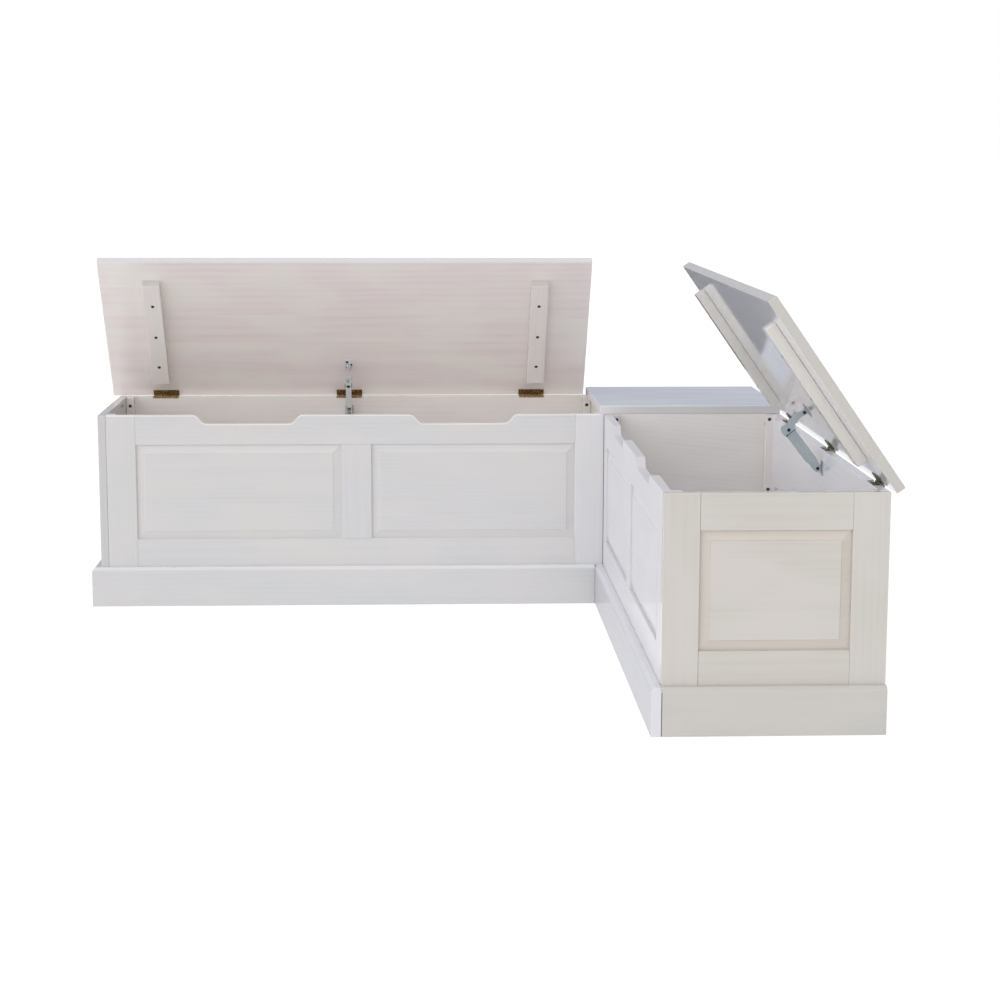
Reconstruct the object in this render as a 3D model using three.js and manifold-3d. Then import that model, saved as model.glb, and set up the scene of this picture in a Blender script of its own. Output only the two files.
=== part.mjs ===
// Corner storage bench in solid pine: two lidded chests at right angles, joined by a closed corner.
// Millimetres, +Z up. Both lids stand open on their stays, and the two backs go against the room's walls.
import * as THREE from 'three';
import { mergeVertices } from 'three/addons/utils/BufferGeometryUtils.js';
import Module from 'manifold-3d';

const wasm = await Module();
wasm.setup();

// Carcass
const chestLength = 1185; // from the corner to the outer face of the end frame
const chestDepth = 416;
const rimHeight = 450;
const boardThickness = 18;
const jointGap = 0.3; // glue line, and the play between pieces that rest on each other
const cutOverrun = 5; // how far a cutting tool runs past the wood
const weldTolerance = 1e-5; // points nearer than this are one point

// Frames with raised panels
const stileWidth = 68;
const topRailHeight = 69;
const bottomRailTop = 156;
const bottomRailHeight = 106;
const muntinWidth = 70;
const grooveDepth = 9;
const grooveWidth = 6;
const panelPlay = 1.5; // room for the wood to move at the bottom of the grooves
const panelBevelWidth = 19;
const panelFieldStep = 1.3;
const panelFieldSetBack = 1.5;
const panelBackSetIn = 3;
const panelEdgeGap = 0.6;

// Finger scoops in the long top rails
const scoopTopWidth = 258;
const scoopBottomWidth = 190;
const scoopDepth = 21;
const scoopShift = 22; // each scoop sits this much nearer the muntin than its panel
const scoopSteps = 10;

// Plinth
const plinthHeight = 92;
const plinthThickness = 20;
const plinthChamfer = 7;

// Floor boards, and the square cleats that carry the floor and stiffen the corners
const floorHeight = 72;
const floorThickness = 12;
const cleatWidth = 19;

// Corner top
const cornerTopThickness = 20;
const cornerTopSideOverhang = 10;
const topEdgeEase = 1.5;

// Lids
const lidThickness = 19;
const lidFrontOverhang = 4;
const lidEndOverhang = 18;
const lidToCornerGap = 6;
const lidSeatGap = 1;
const lidOpenAngle = THREE.MathUtils.degToRad(55);
const battenWidth = 42;
const battenThickness = 22;
const battenEndInset = 104;
const battenBackInset = 57;
const battenFrontInset = 56;

// Butt hinges
const hingeLength = 64;
const hingeEndInset = 133; // from the end of the lid to the middle of its outer hinge
const hingeAxisOutset = 4; // the barrel runs this far behind the back wall
const leafReach = 18.5;
const leafThickness = 1.5;
const barrelRadius = 2.8;
const hingePinRadius = 1.3;
const knuckleCount = 5;
const knuckleGap = 0.3;
const roundSegments = 16;

// Two-link lid stays
const stayWallPivotInset = 10.5; // from the inner face of the back wall
const stayWallPivotDrop = 38; // below the rim
const stayLidPivotReach = 102; // along the lid from the hinge barrel
const stayLidPivotOffset = 8; // below the underside of the lid
const lowerArmWidth = 22;
const lowerArmFootRadius = 8;
const lowerArmNeckLength = 21;
const lowerArmDepth = 13;
const armSteel = 1.5;
const upperArmThickness = 3;
const upperArmHeadRadius = 8;
const upperArmFootRadius = 5.4;
const upperArmBulge = 5;
const upperArmSteps = 8;
const kneeCheekRadius = 13.5;
const kneeCheekSkirt = 9; // how far the cheeks reach below the knee
const kneeWebLow = -3; // the web that joins the cheeks, along the upper arm from the knee
const kneeWebHigh = 6;
const rightStayShift = 17; // the right stay sits this much nearer the outer end than its hinge
const stayPinRadius = 2.5;
const pinClearance = 0.3;
const rivetHeadRadius = 4.2;
const rivetHeadHeight = 1;
const stopRivetRadius = 2;
const bracketWidth = 20;
const bracketLength = 30;
const bracketSteel = 1.5;
const bracketEarThickness = 2;
const bracketEarRadius = 5.5;

// Places that follow from the sizes
const frontEnd = chestLength - boardThickness - jointGap;
const backInnerFace = chestDepth - boardThickness;
const topRailBottom = rimHeight - topRailHeight;
const lidUnderside = barrelRadius + jointGap; // above the hinge axis, with the lid shut
const hingeAxisY = chestDepth + hingeAxisOutset;
const hingeAxisZ = rimHeight + lidSeatGap - lidUnderside;

// Materials
const frontPine = new THREE.MeshStandardMaterial({ color: 0xd6d5d4, roughness: 0.55, metalness: 0 });
const panelPine = new THREE.MeshStandardMaterial({ color: 0xd9d6d2, roughness: 0.55, metalness: 0 });
const insidePine = new THREE.MeshStandardMaterial({ color: 0xc9c3bd, roughness: 0.6, metalness: 0 });
const topPine = new THREE.MeshStandardMaterial({ color: 0xccd0d8, roughness: 0.5, metalness: 0 });
const agedBrass = new THREE.MeshStandardMaterial({ color: 0x4a3418, roughness: 0.45, metalness: 0.9 });
const zincSteel = new THREE.MeshStandardMaterial({ color: 0x9da7aa, roughness: 0.4, metalness: 0.85 });

// Closed geometry to a solid that can be cut and joined
function toSolid(geometry) {
  const bare = geometry.index ? geometry.toNonIndexed() : geometry.clone();
  bare.deleteAttribute('normal');
  bare.deleteAttribute('uv');
  const merged = mergeVertices(bare, weldTolerance);
  return new wasm.Manifold(new wasm.Mesh({
    numProp: 3,
    vertProperties: new Float32Array(merged.attributes.position.array),
    triVerts: new Uint32Array(merged.index.array),
  }));
}

function toGeometry(solid) {
  const mesh = solid.getMesh();
  const geometry = new THREE.BufferGeometry();
  geometry.setAttribute('position', new THREE.BufferAttribute(new Float32Array(mesh.vertProperties), 3));
  geometry.setIndex(new THREE.BufferAttribute(new Uint32Array(mesh.triVerts), 1));
  geometry.computeVertexNormals();
  return geometry;
}

function join(...solids) {
  return solids.reduce((sum, solid) => sum.add(solid));
}

// A block between two corners
function block([x0, y0, z0], [x1, y1, z1]) {
  const geometry = new THREE.BoxGeometry(x1 - x0, y1 - y0, z1 - z0);
  geometry.translate((x0 + x1) / 2, (y0 + y1) / 2, (z0 + z1) / 2);
  return toSolid(geometry);
}

// A block whose upper face is drawn in from its lower one by its own amount on each side
function taperedBlock([x0, y0, z0], [x1, y1, z1], { left = 0, right = 0, front = 0, back = 0 }) {
  const geometry = new THREE.BoxGeometry(x1 - x0, y1 - y0, z1 - z0);
  geometry.translate((x0 + x1) / 2, (y0 + y1) / 2, (z0 + z1) / 2);
  const points = geometry.attributes.position;
  for (let i = 0; i < points.count; i++) {
    if (points.getZ(i) < (z0 + z1) / 2) continue;
    points.setX(i, points.getX(i) < (x0 + x1) / 2 ? x0 + left : x1 - right);
    points.setY(i, points.getY(i) < (y0 + y1) / 2 ? y0 + front : y1 - back);
  }
  return toSolid(geometry);
}

// An outline drawn in x and z, run along y from y0 to y1
function runAlongY(shape, y0, y1) {
  const geometry = new THREE.ExtrudeGeometry(shape, { depth: y1 - y0, bevelEnabled: false });
  geometry.rotateX(Math.PI / 2);
  geometry.translate(0, y1, 0);
  return toSolid(geometry);
}

// An outline drawn in y and z, run along x from x0 to x1
function runAlongX(shape, x0, x1) {
  const geometry = new THREE.ExtrudeGeometry(shape, { depth: x1 - x0, bevelEnabled: false });
  geometry.rotateX(Math.PI / 2);
  geometry.rotateZ(Math.PI / 2);
  geometry.translate(x0, 0, 0);
  return toSolid(geometry);
}

// A round bar along x through the point y, z
function barAlongX(radius, x0, x1, y = 0, z = 0) {
  const geometry = new THREE.CylinderGeometry(radius, radius, x1 - x0, roundSegments);
  geometry.rotateZ(Math.PI / 2);
  geometry.translate((x0 + x1) / 2, y, z);
  return toSolid(geometry);
}

function addPiece(group, name, solid, material) {
  const mesh = new THREE.Mesh(toGeometry(solid), material);
  mesh.name = name;
  group.add(mesh);
}

// A board top with its upper edges eased
function easedBoard([x0, y0, z0], [x1, y1, z1]) {
  const shoulder = z1 - topEdgeEase;
  const ease = { left: topEdgeEase, right: topEdgeEase, front: topEdgeEase, back: topEdgeEase };
  return join(block([x0, y0, z0], [x1, y1, shoulder]), taperedBlock([x0, y0, shoulder], [x1, y1, z1], ease));
}

// Frames stand in x and z with their face at y = 0. A groove runs in the middle of every inner edge.
const grooveFront = (boardThickness - grooveWidth) / 2;
const grooveBack = (boardThickness + grooveWidth) / 2;
const tongueFront = grooveFront + jointGap;
const tongueBack = grooveBack - jointGap;
const tongueLength = grooveDepth - jointGap;

function stile(x0, grooveOnRight) {
  const x1 = x0 + stileWidth;
  const board = block([x0, 0, 0], [x1, boardThickness, rimHeight]);
  const cutStart = grooveOnRight ? x1 - grooveDepth : x0 - cutOverrun;
  const cutEnd = grooveOnRight ? x1 + cutOverrun : x0 + grooveDepth;
  return board.subtract(block(
    [cutStart, grooveFront, -cutOverrun],
    [cutEnd, grooveBack, rimHeight + cutOverrun],
  ));
}

// The S-curve of one scoop end, from the rim at x0 down to the scoop's floor at x1
function scoopCurve(x0, z0, x1, z1) {
  const middle = (x0 + x1) / 2;
  const curve = new THREE.CubicBezierCurve(
    new THREE.Vector2(x0, z0),
    new THREE.Vector2(middle, z0),
    new THREE.Vector2(middle, z1),
    new THREE.Vector2(x1, z1),
  );
  return curve.getPoints(scoopSteps);
}

function railOutline(x0, x1, z0, z1, scoopCentres) {
  const shape = new THREE.Shape();
  shape.moveTo(x1, z1);
  shape.lineTo(x1, z0);
  shape.lineTo(x0, z0);
  shape.lineTo(x0, z1);
  for (const centre of scoopCentres) {
    const start = centre - scoopTopWidth / 2;
    const floorStart = centre - scoopBottomWidth / 2;
    const floorEnd = centre + scoopBottomWidth / 2;
    const end = centre + scoopTopWidth / 2;
    for (const point of scoopCurve(start, z1, floorStart, z1 - scoopDepth)) shape.lineTo(point.x, point.y);
    for (const point of scoopCurve(floorEnd, z1 - scoopDepth, end, z1)) shape.lineTo(point.x, point.y);
  }
  return shape;
}

// A rail between two stiles, with a stub tongue at each end and a groove along its inner edge
function rail(x0, x1, z0, z1, grooveOnTop, scoopCentres = []) {
  const shape = railOutline(x0 + jointGap, x1 - jointGap, z0, z1, scoopCentres);
  const tongue = block([x0 - tongueLength, tongueFront, z0], [x1 + tongueLength, tongueBack, z1]);
  const tongueEnds = tongue.subtract(block(
    [x0 + jointGap + cutOverrun, 0, z0 - cutOverrun],
    [x1 - jointGap - cutOverrun, boardThickness, z1 + cutOverrun],
  ));
  const cutLow = grooveOnTop ? z1 - grooveDepth : z0 - cutOverrun;
  const cutHigh = grooveOnTop ? z1 + cutOverrun : z0 + grooveDepth;
  const groove = block(
    [x0 - grooveDepth - cutOverrun, grooveFront, cutLow],
    [x1 + grooveDepth + cutOverrun, grooveBack, cutHigh],
  );
  return runAlongY(shape, 0, boardThickness).add(tongueEnds).subtract(groove);
}

// The upright between two panels
function muntin(centre) {
  const x0 = centre - muntinWidth / 2;
  const x1 = centre + muntinWidth / 2;
  const body = block([x0, 0, bottomRailTop + jointGap], [x1, boardThickness, topRailBottom - jointGap]);
  const tongue = block(
    [x0, tongueFront, bottomRailTop - tongueLength],
    [x1, tongueBack, topRailBottom + tongueLength],
  );
  const groove = (from, to) => block(
    [from, grooveFront, bottomRailTop - grooveDepth - cutOverrun],
    [to, grooveBack, topRailBottom + grooveDepth + cutOverrun],
  );
  return body
    .add(tongue)
    .subtract(groove(x0 - cutOverrun, x0 + grooveDepth))
    .subtract(groove(x1 - grooveDepth, x1 + cutOverrun));
}

// A raised and fielded panel for the opening from x0 to x1, its thin edge held in the grooves
function raisedPanel(x0, x1) {
  const hidden = grooveDepth - panelPlay;
  const width = x1 - x0 - 2 * panelEdgeGap;
  const height = topRailBottom - bottomRailTop - 2 * panelEdgeGap;
  const edge = block(
    [x0 - hidden, tongueFront, bottomRailTop - hidden],
    [x1 + hidden, tongueBack, topRailBottom + hidden],
  );
  const back = block(
    [x0 + panelEdgeGap, (tongueFront + tongueBack) / 2, bottomRailTop + panelEdgeGap],
    [x1 - panelEdgeGap, boardThickness - panelBackSetIn, topRailBottom - panelEdgeGap],
  );
  // The bevel and the field, drawn lying down and then stood up in the opening
  const bevelTop = tongueFront - panelFieldSetBack - panelFieldStep;
  const inset = {
    left: panelBevelWidth, right: panelBevelWidth, front: panelBevelWidth, back: panelBevelWidth,
  };
  const bevel = taperedBlock([0, 0, 0], [width, height, bevelTop], inset);
  const field = block(
    [panelBevelWidth, panelBevelWidth, 0],
    [width - panelBevelWidth, height - panelBevelWidth, bevelTop + panelFieldStep],
  );
  const root = block([0, 0, (tongueFront - tongueBack) / 2], [width, height, 0]);
  const face = join(root, bevel, field).rotate([90, 0, 0]);
  const placed = face.translate([x0 + panelEdgeGap, tongueFront, bottomRailTop + panelEdgeGap]);
  return join(edge, back, placed);
}

// Upright cleats stand on the floor boards and reach the rim, and level ones carry the floor
const cleatFoot = floorHeight + floorThickness + jointGap;
const floorCleatTop = floorHeight - jointGap;

function addFrontFrame(group, prefix) {
  const innerStart = jointGap;
  const openingStart = innerStart + stileWidth;
  const openingEnd = frontEnd - stileWidth;
  const middle = (openingStart + openingEnd) / 2;
  const panelWidth = (openingEnd - openingStart - muntinWidth) / 2;
  const scoopOffset = (panelWidth + muntinWidth) / 2 - scoopShift;

  const cleatBack = boardThickness + cleatWidth;
  const innerCleat = block(
    [innerStart, boardThickness, cleatFoot],
    [innerStart + cleatWidth, cleatBack, rimHeight],
  );
  const outerCleat = block(
    [frontEnd - cleatWidth, boardThickness, cleatFoot],
    [frontEnd, cleatBack, rimHeight],
  );
  const floorCleat = block(
    [openingStart + jointGap, boardThickness, floorCleatTop - cleatWidth],
    [openingEnd - jointGap, cleatBack, floorCleatTop],
  );

  addPiece(group, `${prefix}_front_stile_inner`, stile(innerStart, true).add(innerCleat), frontPine);
  addPiece(group, `${prefix}_front_stile_outer`, stile(openingEnd, false).add(outerCleat), frontPine);
  addPiece(group, `${prefix}_front_top_rail`,
    rail(openingStart, openingEnd, topRailBottom, rimHeight, false, [middle - scoopOffset, middle + scoopOffset]),
    frontPine);
  addPiece(group, `${prefix}_front_bottom_rail`,
    rail(openingStart, openingEnd, bottomRailTop - bottomRailHeight, bottomRailTop, true).add(floorCleat),
    frontPine);
  addPiece(group, `${prefix}_front_muntin`, muntin(middle), frontPine);
  addPiece(group, `${prefix}_front_panel_inner`, raisedPanel(openingStart, openingStart + panelWidth), panelPine);
  addPiece(group, `${prefix}_front_panel_outer`, raisedPanel(openingEnd - panelWidth, openingEnd), panelPine);
}

// The end frame covers the ends of the front frame and of the back wall
function addEndFrame(chest, prefix) {
  const group = new THREE.Group();
  group.position.x = chestLength;
  group.rotation.z = Math.PI / 2;
  chest.add(group);
  const openingStart = stileWidth;
  const openingEnd = chestDepth - stileWidth;
  addPiece(group, `${prefix}_end_stile_front`, stile(0, true), frontPine);
  addPiece(group, `${prefix}_end_stile_back`, stile(openingEnd, false), frontPine);
  addPiece(group, `${prefix}_end_top_rail`,
    rail(openingStart, openingEnd, topRailBottom, rimHeight, false), frontPine);
  addPiece(group, `${prefix}_end_bottom_rail`,
    rail(openingStart, openingEnd, bottomRailTop - bottomRailHeight, bottomRailTop, true), frontPine);
  addPiece(group, `${prefix}_end_panel`, raisedPanel(openingStart, openingEnd), panelPine);
}

// The back wall runs on behind the corner, and is let in along its rim for the hinges
function addBackWall(group, prefix, runBehindCorner, hingePlaces) {
  const cleatFront = backInnerFace - cleatWidth;
  let wall = join(
    block([-runBehindCorner, backInnerFace, 0], [frontEnd, chestDepth, rimHeight]),
    block([jointGap, cleatFront, cleatFoot], [jointGap + cleatWidth, backInnerFace, rimHeight]),
    block([frontEnd - cleatWidth, cleatFront, cleatFoot], [frontEnd, backInnerFace, rimHeight]),
    block([jointGap, cleatFront, floorCleatTop - cleatWidth], [frontEnd, backInnerFace, floorCleatTop]),
  );
  const letIn = hingeLength / 2 + jointGap;
  for (const place of hingePlaces) {
    wall = wall.subtract(block(
      [place - letIn, hingeAxisY - leafReach - jointGap, hingeAxisZ - barrelRadius - jointGap],
      [place + letIn, chestDepth + cutOverrun, rimHeight + cutOverrun],
    ));
  }
  addPiece(group, `${prefix}_back_wall`, wall, insidePine);
}

function addFloor(group, prefix) {
  addPiece(group, `${prefix}_floor`, block(
    [jointGap, boardThickness + jointGap, floorHeight],
    [frontEnd, backInnerFace - jointGap, floorHeight + floorThickness],
  ), insidePine);
}

// The long plinth board covers the end of the short one, and both have a chamfered top edge
function addPlinth(group, prefix, plinthStart) {
  const shoulder = plinthHeight - plinthChamfer;
  const outerEnd = chestLength + plinthThickness;
  const long = join(
    block([plinthStart, -plinthThickness, 0], [outerEnd, -jointGap, shoulder]),
    taperedBlock([plinthStart, -plinthThickness, shoulder], [outerEnd, -jointGap, plinthHeight],
      { front: plinthChamfer, right: plinthChamfer }),
  );
  const short = join(
    block([chestLength + jointGap, 0, 0], [outerEnd, chestDepth, shoulder]),
    taperedBlock([chestLength + jointGap, 0, shoulder], [outerEnd, chestDepth, plinthHeight],
      { right: plinthChamfer }),
  );
  addPiece(group, `${prefix}_plinth_long`, long, frontPine);
  addPiece(group, `${prefix}_plinth_end`, short, frontPine);
}

// One leaf of a butt hinge about the x axis, lying below the axis, with every other knuckle
function hingeLeaf(firstKnuckle) {
  const half = hingeLength / 2;
  const pitch = hingeLength / knuckleCount;
  const plateEdge = barrelRadius + jointGap;
  let leaf = block([-half, -leafReach, -barrelRadius], [half, -plateEdge, leafThickness - barrelRadius]);
  for (let i = firstKnuckle; i < knuckleCount; i += 2) {
    const start = -half + i * pitch + knuckleGap / 2;
    const end = start + pitch - knuckleGap;
    leaf = leaf.add(block([start, -plateEdge - jointGap, -barrelRadius], [end, 0, leafThickness - barrelRadius]));
    leaf = leaf.add(barAlongX(barrelRadius, start, end));
  }
  return leaf;
}

function wallLeaf() {
  return hingeLeaf(0).add(barAlongX(hingePinRadius, -hingeLength / 2, hingeLength / 2));
}

// The leaf on the lid is turned over, and turns on the pin
function lidLeaf() {
  const bore = barAlongX(hingePinRadius + pinClearance, -hingeLength, hingeLength);
  return hingeLeaf(1).subtract(bore).mirror([0, 0, 1]);
}

function addHinge(chest, lid, prefix, place, label) {
  const onWall = new THREE.Group();
  onWall.position.set(place, hingeAxisY, hingeAxisZ);
  chest.add(onWall);
  addPiece(onWall, `${prefix}_hinge_${label}_wall_leaf`, wallLeaf(), agedBrass);
  const onLid = new THREE.Group();
  onLid.position.x = place;
  lid.add(onLid);
  addPiece(onLid, `${prefix}_hinge_${label}_lid_leaf`, lidLeaf(), agedBrass);
}

// The lid is drawn shut, with the hinge axis as its origin
function addLidBoards(lid, prefix, lidStart, lidEnd) {
  const frontEdge = -(hingeAxisY + lidFrontOverhang);
  addPiece(lid, `${prefix}_lid`,
    easedBoard([lidStart, frontEdge, lidUnderside], [lidEnd, 0, lidUnderside + lidThickness]), topPine);
  const battenStarts = {
    inner: lidStart + battenEndInset,
    outer: lidEnd - battenEndInset - battenWidth,
  };
  for (const [label, start] of Object.entries(battenStarts)) {
    addPiece(lid, `${prefix}_lid_batten_${label}`, block(
      [start, frontEdge + battenFrontInset, lidUnderside - jointGap - battenThickness],
      [start + battenWidth, -battenBackInset, lidUnderside - jointGap],
    ), insidePine);
  }
}

// Stay pivots in y and z. The two arms, the wall and the lid make a parallelogram with the hinge.
const openTurn = (y, z) => new THREE.Vector2(
  y * Math.cos(lidOpenAngle) + z * Math.sin(lidOpenAngle),
  -y * Math.sin(lidOpenAngle) + z * Math.cos(lidOpenAngle),
);
const wallPivot = new THREE.Vector2(backInnerFace - stayWallPivotInset, rimHeight - stayWallPivotDrop);
const lidPivotOnLid = new THREE.Vector2(-stayLidPivotReach, lidUnderside - stayLidPivotOffset);
const lidPivotOffset = openTurn(lidPivotOnLid.x, lidPivotOnLid.y);
const hingeToWallPivot = wallPivot.clone().sub(new THREE.Vector2(hingeAxisY, hingeAxisZ));
const lowerArmLength = lidPivotOffset.length();
const upperArmLength = hingeToWallPivot.length();
const lowerArmTurn = Math.atan2(-lidPivotOffset.x, lidPivotOffset.y);
const upperArmTurn = Math.atan2(hingeToWallPivot.x, -hingeToWallPivot.y);
const cheekInner = lowerArmDepth / 2 + pinClearance;
const cheekOuter = cheekInner + armSteel;

// Outline of the lower arm in y and z: a foot at the origin with a shoulder above it on the side
// away from the wall, and a round head at the knee
function lowerArmOutline() {
  const half = lowerArmWidth / 2;
  const shape = new THREE.Shape();
  shape.moveTo(-half, lowerArmNeckLength + half - lowerArmFootRadius);
  shape.lineTo(-lowerArmFootRadius, lowerArmNeckLength);
  shape.lineTo(-lowerArmFootRadius, 0);
  shape.absarc(0, 0, lowerArmFootRadius, Math.PI, 2 * Math.PI, false);
  shape.lineTo(half, lowerArmNeckLength);
  shape.lineTo(half, lowerArmLength);
  shape.absarc(0, lowerArmLength, half, 0, Math.PI, false);
  shape.closePath();
  return shape;
}

// A rivet along x at the height z, with a flat head beyond each grip
function rivet(grip, z) {
  const end = grip + rivetHeadHeight;
  return join(
    barAlongX(stayPinRadius, -end, end, 0, z),
    barAlongX(rivetHeadRadius, -end, -grip, 0, z),
    barAlongX(rivetHeadRadius, grip, end, 0, z),
  );
}

// The lower arm is a folded steel channel, open towards the wall, with the pins of both its pivots
function lowerArm() {
  const half = lowerArmDepth / 2;
  const inner = half - armSteel;
  const web = -lowerArmWidth / 2 + armSteel;
  const channel = runAlongX(lowerArmOutline(), -half, half).subtract(block(
    [-inner, web, -lowerArmLength],
    [inner, lowerArmWidth, 2 * lowerArmLength],
  ));
  const pins = [
    rivet(half, 0),
    rivet(cheekOuter + pinClearance, lowerArmLength),
  ];
  const stopY = web + stopRivetRadius;
  const stopZ = lowerArmLength - kneeCheekRadius - stopRivetRadius / 2;
  const stop = barAlongX(stopRivetRadius, -half - rivetHeadHeight, half + rivetHeadHeight, stopY, stopZ);
  return join(channel, ...pins, stop);
}

// Two cheeks of the upper arm outside the channel, cut square to it below the knee, and their web
function kneeCheeks() {
  const turn = THREE.MathUtils.radToDeg(lowerArmTurn - upperArmTurn);
  const cheeks = [[-cheekOuter, -cheekInner], [cheekInner, cheekOuter]].map(([x0, x1]) => join(
    barAlongX(kneeCheekRadius, x0, x1),
    block([x0, -kneeCheekRadius, -kneeCheekSkirt], [x1, kneeCheekRadius, 0]).rotate([turn, 0, 0]),
  ));
  const web = block(
    [-cheekOuter, -kneeCheekRadius, kneeWebLow],
    [cheekOuter, armSteel - kneeCheekRadius, kneeWebHigh],
  );
  return join(web, ...cheeks);
}

// The upper arm is a flat hook that bows away from the wall between the lid pivot and the knee
function upperArm() {
  const bow = new THREE.QuadraticBezierCurve(
    new THREE.Vector2(0, 0),
    new THREE.Vector2(-2 * upperArmBulge, upperArmLength / 2),
    new THREE.Vector2(0, upperArmLength),
  );
  const sides = [-1, 1].map((side) => Array.from({ length: upperArmSteps + 1 }, (_, i) => {
    const share = i / upperArmSteps;
    const point = bow.getPoint(share);
    const along = bow.getTangent(share);
    const reach = side * THREE.MathUtils.lerp(upperArmHeadRadius, upperArmFootRadius, share);
    return new THREE.Vector2(point.x + along.y * reach, point.y - along.x * reach);
  }));
  const band = new THREE.Shape([...sides[1], ...sides[0].reverse()]);
  const half = upperArmThickness / 2;
  const earOuter = half + pinClearance + bracketEarThickness;
  const kneeHole = barAlongX(stayPinRadius + pinClearance, -lowerArmDepth, lowerArmDepth);
  return join(
    runAlongX(band, -half, half),
    barAlongX(upperArmHeadRadius, -half, half),
    barAlongX(upperArmFootRadius, -half, half, 0, upperArmLength),
    block([-half, armSteel / 2 - kneeCheekRadius, kneeWebLow], [half, 0, kneeWebHigh]),
    kneeCheeks(),
  ).subtract(kneeHole).add(rivet(earOuter + pinClearance, upperArmLength));
}

// A base plate at z = plateZ under its fixing, with ears that hang down to a pivot at the origin
function stayBracket(plateZ, earStarts, earThickness) {
  const hole = barAlongX(stayPinRadius + pinClearance, -bracketWidth, bracketWidth);
  const plate = block(
    [-bracketWidth / 2, -bracketLength / 2, plateZ - bracketSteel],
    [bracketWidth / 2, bracketLength / 2, plateZ],
  );
  const ears = earStarts.map((start) => join(
    barAlongX(bracketEarRadius, start, start + earThickness),
    block([start, -bracketEarRadius, 0], [start + earThickness, bracketEarRadius, plateZ - bracketSteel / 2]),
  ));
  return join(plate, ...ears.map((ear) => ear.subtract(hole)));
}

function wallBracket() {
  const thickness = upperArmThickness;
  return stayBracket(stayWallPivotInset - jointGap, [-thickness / 2], thickness);
}

function lidBracket() {
  const inner = upperArmThickness / 2 + pinClearance;
  return stayBracket(stayLidPivotOffset - jointGap, [inner, -inner - bracketEarThickness], bracketEarThickness);
}

function addStay(chest, lid, prefix, place) {
  const foot = new THREE.Group();
  foot.position.set(place, wallPivot.x, wallPivot.y);
  chest.add(foot);

  const bracketOnWall = new THREE.Group();
  bracketOnWall.rotation.x = -Math.PI / 2;
  foot.add(bracketOnWall);
  addPiece(bracketOnWall, `${prefix}_stay_wall_bracket`, wallBracket(), zincSteel);

  const arm = new THREE.Group();
  arm.rotation.x = lowerArmTurn;
  foot.add(arm);
  addPiece(arm, `${prefix}_stay_lower_arm`, lowerArm(), zincSteel);

  const knee = new THREE.Group();
  knee.position.set(place, wallPivot.x + lidPivotOffset.x, wallPivot.y + lidPivotOffset.y);
  knee.rotation.x = upperArmTurn;
  chest.add(knee);
  addPiece(knee, `${prefix}_stay_upper_arm`, upperArm(), zincSteel);

  const bracketOnLid = new THREE.Group();
  bracketOnLid.position.set(place, lidPivotOnLid.x, lidPivotOnLid.y);
  lid.add(bracketOnLid);
  addPiece(bracketOnLid, `${prefix}_stay_lid_bracket`, lidBracket(), zincSteel);
}

// One chest in its own frame: x along it from the corner, y from its front face back, z up
function buildChest({ prefix, topOverhang, plinthStart, runBehindCorner, stayShift }) {
  const chest = new THREE.Group();
  const lidStart = topOverhang + lidToCornerGap;
  const lidEnd = chestLength + lidEndOverhang;
  const lidMiddle = (lidStart + lidEnd) / 2;
  const hinges = {
    inner: lidStart + hingeEndInset,
    middle: lidMiddle,
    outer: lidEnd - hingeEndInset,
  };
  const lid = new THREE.Group();
  lid.position.set(0, hingeAxisY, hingeAxisZ);
  lid.rotation.x = -lidOpenAngle;
  chest.add(lid);

  addFrontFrame(chest, prefix);
  addEndFrame(chest, prefix);
  addBackWall(chest, prefix, runBehindCorner, Object.values(hinges));
  addFloor(chest, prefix);
  addPlinth(chest, prefix, plinthStart);
  addLidBoards(lid, prefix, lidStart, lidEnd);
  for (const [label, place] of Object.entries(hinges)) addHinge(chest, lid, prefix, place, label);
  addStay(chest, lid, prefix, lidMiddle + stayShift);
  return chest;
}

// The closed corner: an L of two boards that shut off both chests, under a fixed top
function addCorner(group) {
  const reach = backInnerFace - jointGap;
  addPiece(group, 'corner_inner_walls', join(
    block([0, 0, 0], [boardThickness, reach, rimHeight]),
    block([0, 0, 0], [reach, boardThickness, rimHeight]),
  ), insidePine);
  addPiece(group, 'corner_top', easedBoard(
    [-cornerTopSideOverhang, 0, rimHeight + jointGap],
    [chestDepth, chestDepth, rimHeight + cornerTopThickness],
  ), topPine);
}

// Both chests start from the corner point: the left one runs towards -X, the right one towards -Y
const leftChest = buildChest({
  prefix: 'left',
  topOverhang: cornerTopSideOverhang,
  plinthStart: plinthThickness + jointGap,
  runBehindCorner: chestDepth,
  stayShift: 0,
});
leftChest.scale.x = -1;

const rightChest = buildChest({
  prefix: 'right',
  topOverhang: 0,
  plinthStart: jointGap,
  runBehindCorner: backInnerFace - jointGap,
  stayShift: rightStayShift,
});
rightChest.rotation.z = -Math.PI / 2;

const bench = new THREE.Group();
bench.name = 'corner_storage_bench';
bench.add(leftChest, rightChest);
addCorner(bench);

// The origin is on the floor under the middle of the bench's box
bench.updateMatrixWorld(true);
const bounds = new THREE.Box3().setFromObject(bench, true);
const middle = bounds.getCenter(new THREE.Vector3());
bench.position.set(-middle.x, -middle.y, -bounds.min.z);

export default bench;
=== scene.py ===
import math

import bpy
import numpy as np
from mathutils import Matrix, Vector


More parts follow.
